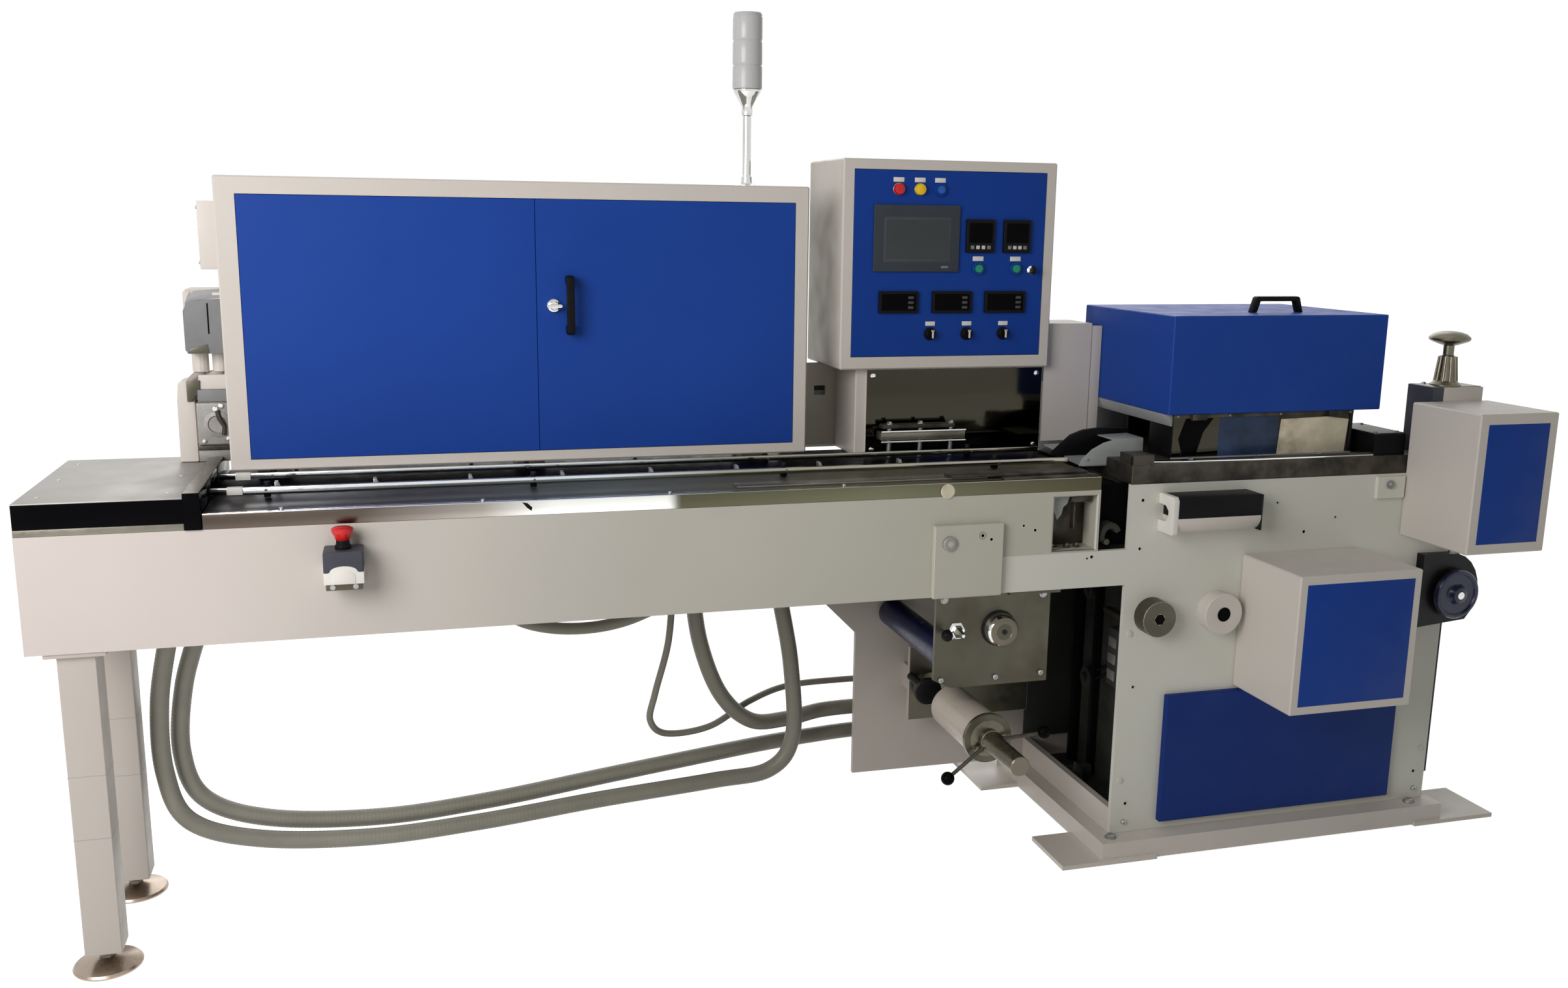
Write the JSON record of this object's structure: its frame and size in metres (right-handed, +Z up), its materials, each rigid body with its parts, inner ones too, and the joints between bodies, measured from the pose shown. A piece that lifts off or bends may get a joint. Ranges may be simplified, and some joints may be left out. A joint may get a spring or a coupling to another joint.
{
  "type": "horizontal form fill sealer",
  "caption": "Horizontal form-fill-seal wrapping machine with an infeed conveyor, electrical cabinet, control box, film unwind and rotary end-sealing head.",
  "frame": {"origin": "centre of the footprint, on the floor", "axes": "+X along the product flow from infeed to outfeed, +Y from the operator side to the rear, +Z up"},
  "size_m": [3.179, 0.819, 1.8446],
  "materials": {
    "cream": "satin",
    "blue": "satin",
    "steel": "satin",
    "dark_steel": "satin",
    "black": "matte",
    "hose": "matte",
    "chrome": "polished",
    "rubber": "matte",
    "red": "gloss",
    "green": "gloss",
    "film": "satin",
    "lens": "satin",
    "grey": "satin"
  },
  "bodies": {
    "machine": {"base_frame": "cream", "cabinet_shell": "cream", "control_box": "cream", "control_column": "cream", "conveyor_beam": "cream", "conveyor_deck": "dark_steel", "end_guard": "black", "estop_box": "grey", "film_former": "film", "front_plate": "cream", "guide_rail_front": "chrome", "guide_rail_rear": "chrome", "hose_long_front": "hose", "hose_long_rear": "hose", "hose_sag": "hose", "hose_thick": "hose", "hose_thin": "hose", "infeed_chain": "dark_steel", "joint_plate": "cream", "knob_base": "dark_steel", "leg_front": "cream", "leg_rear": "cream", "lower_motor_cover": "cream", "profile_box": "black", "rear_plate": "cream", "sealing_deck": "dark_steel", "sealing_frame": "steel", "service_cover": "blue", "tail_cover": "dark_steel", "tail_gearbox": "grey", "tower_lens": "lens", "tower_pole": "chrome", "unwind_plate": "steel", "upper_motor_cover": "cream"},
    "left_door": {"cabinet_door_left": "blue"},
    "right_door": {"cabinet_door_right": "blue", "door_handle": "black"},
    "door_lock_body": {"door_lock": "chrome"},
    "panel_door": {"control_door": "blue", "hmi_unit": "black"},
    "blue_button_body": {"blue_button": "blue"},
    "green_left_body": {"green_button_left": "green"},
    "green_right_body": {"green_button_right": "green"},
    "selector_1_body": {"selector_1": "black"},
    "selector_2_body": {"selector_2": "black"},
    "selector_3_body": {"selector_3": "black"},
    "panel_lock_body": {"panel_lock": "chrome"},
    "estop_body": {"estop_button": "red"},
    "hood_body": {"hood": "blue", "hood_handle": "black"},
    "lower_jaw_body": {"lower_jaw": "steel"},
    "upper_jaw_body": {"upper_jaw": "steel"},
    "handwheel_body": {"handwheel": "rubber"},
    "height_knob_body": {"height_knob": "dark_steel"},
    "reel_body": {"bobbin_shaft": "steel", "film_roll": "film"},
    "nip_steel_body": {"nip_roller_steel": "steel"},
    "nip_blue_body": {"nip_roller_blue": "rubber"},
    "drive_sprocket_body": {"drive_sprocket": "steel"},
    "tail_sprocket_body": {"tail_sprocket": "steel"}
  },
  "joints": [
    {"name": "left_door_hinge", "type": "hinge", "parent": "machine", "child": "left_door", "pos_m": [-1.2216, 0.0785, 1.1825], "axis": [0, 0, -1], "range_deg": [0, 90]},
    {"name": "right_door_hinge", "type": "hinge", "parent": "machine", "child": "right_door", "pos_m": [-0.1044, 0.0785, 1.1825], "axis": [0, 0, 1], "range_deg": [0, 90]},
    {"name": "door_lock_turn", "type": "hinge", "parent": "right_door", "child": "door_lock_body", "pos_m": [-0.6205, 0.0782, 1.226], "axis": [0, 1, 0], "range_deg": [0, 90]},
    {"name": "panel_door_hinge", "type": "hinge", "parent": "machine", "child": "panel_door", "pos_m": [0.0424, 0.1245, 1.311], "axis": [0, 0, -1], "range_deg": [0, 90]},
    {"name": "blue_button_press", "type": "slide", "parent": "panel_door", "child": "blue_button_body", "axis": [0, 1, 0], "range_m": [0, 0.0035], "stiffness_N_per_m": 300},
    {"name": "green_left_press", "type": "slide", "parent": "panel_door", "child": "green_left_body", "axis": [0, 1, 0], "range_m": [0, 0.0035], "stiffness_N_per_m": 300},
    {"name": "green_right_press", "type": "slide", "parent": "panel_door", "child": "green_right_body", "axis": [0, 1, 0], "range_m": [0, 0.0035], "stiffness_N_per_m": 300},
    {"name": "selector_1_turn", "type": "hinge", "parent": "panel_door", "child": "selector_1_body", "pos_m": [0.2295, 0.1242, 1.156], "axis": [0, 1, 0], "range_deg": [-45, 45]},
    {"name": "selector_2_turn", "type": "hinge", "parent": "panel_door", "child": "selector_2_body", "pos_m": [0.3185, 0.1242, 1.156], "axis": [0, 1, 0], "range_deg": [-45, 45]},
    {"name": "selector_3_turn", "type": "hinge", "parent": "panel_door", "child": "selector_3_body", "pos_m": [0.4085, 0.1242, 1.156], "axis": [0, 1, 0], "range_deg": [-45, 45]},
    {"name": "panel_lock_turn", "type": "hinge", "parent": "panel_door", "child": "panel_lock_body", "pos_m": [0.4725, 0.1242, 1.299], "axis": [0, 1, 0], "range_deg": [0, 90]},
    {"name": "estop_press", "type": "slide", "parent": "machine", "child": "estop_body", "axis": [0, 0, -1], "range_m": [0, 0.004], "stiffness_N_per_m": 500},
    {"name": "hood_hinge", "type": "hinge", "parent": "machine", "child": "hood_body", "pos_m": [0.9545, 0.2425, 0.9975], "axis": [-1, 0, 0], "range_deg": [0, 80]},
    {"name": "lower_jaw_spin", "type": "hinge", "parent": "machine", "child": "lower_jaw_body", "pos_m": [0.9705, 0.0305, 0.938], "axis": [0, 1, 0], "continuous": true},
    {"name": "upper_jaw_spin", "type": "hinge", "parent": "machine", "child": "upper_jaw_body", "pos_m": [0.9705, 0.0305, 1.012], "axis": [0, 1, 0], "continuous": true},
    {"name": "handwheel_spin", "type": "hinge", "parent": "machine", "child": "handwheel_body", "pos_m": [1.4205, -0.2248, 0.57], "axis": [0, 1, 0], "continuous": true},
    {"name": "height_knob_spin", "type": "hinge", "parent": "machine", "child": "height_knob_body", "pos_m": [1.3935, -0.1645, 1.1183], "axis": [0, 0, 1], "continuous": true},
    {"name": "reel_spin", "type": "hinge", "parent": "machine", "child": "reel_body", "pos_m": [0.2685, -0.1005, 0.305], "axis": [0, 1, 0], "continuous": true},
    {"name": "nip_steel_spin", "type": "hinge", "parent": "machine", "child": "nip_steel_body", "pos_m": [0.3245, 0.0595, 0.528], "axis": [0, 1, 0], "continuous": true},
    {"name": "nip_blue_spin", "type": "hinge", "parent": "machine", "child": "nip_blue_body", "pos_m": [0.2025, 0.0595, 0.47], "axis": [0, 1, 0], "continuous": true},
    {"name": "drive_sprocket_spin", "type": "hinge", "parent": "machine", "child": "drive_sprocket_body", "pos_m": [0.4305, 0.0005, 0.8], "axis": [0, 1, 0], "continuous": true},
    {"name": "tail_sprocket_spin", "type": "hinge", "parent": "machine", "child": "tail_sprocket_body", "pos_m": [-1.4095, 0.0005, 0.8], "axis": [0, 1, 0], "continuous": true}
  ],
  "couplings": [
    {"joint": "upper_jaw_spin", "follows": "lower_jaw_spin", "ratio": -1},
    {"joint": "handwheel_spin", "follows": "lower_jaw_spin", "ratio": 1},
    {"joint": "nip_blue_spin", "follows": "nip_steel_spin", "ratio": -0.94118},
    {"joint": "tail_sprocket_spin", "follows": "drive_sprocket_spin", "ratio": 1}
  ]
}
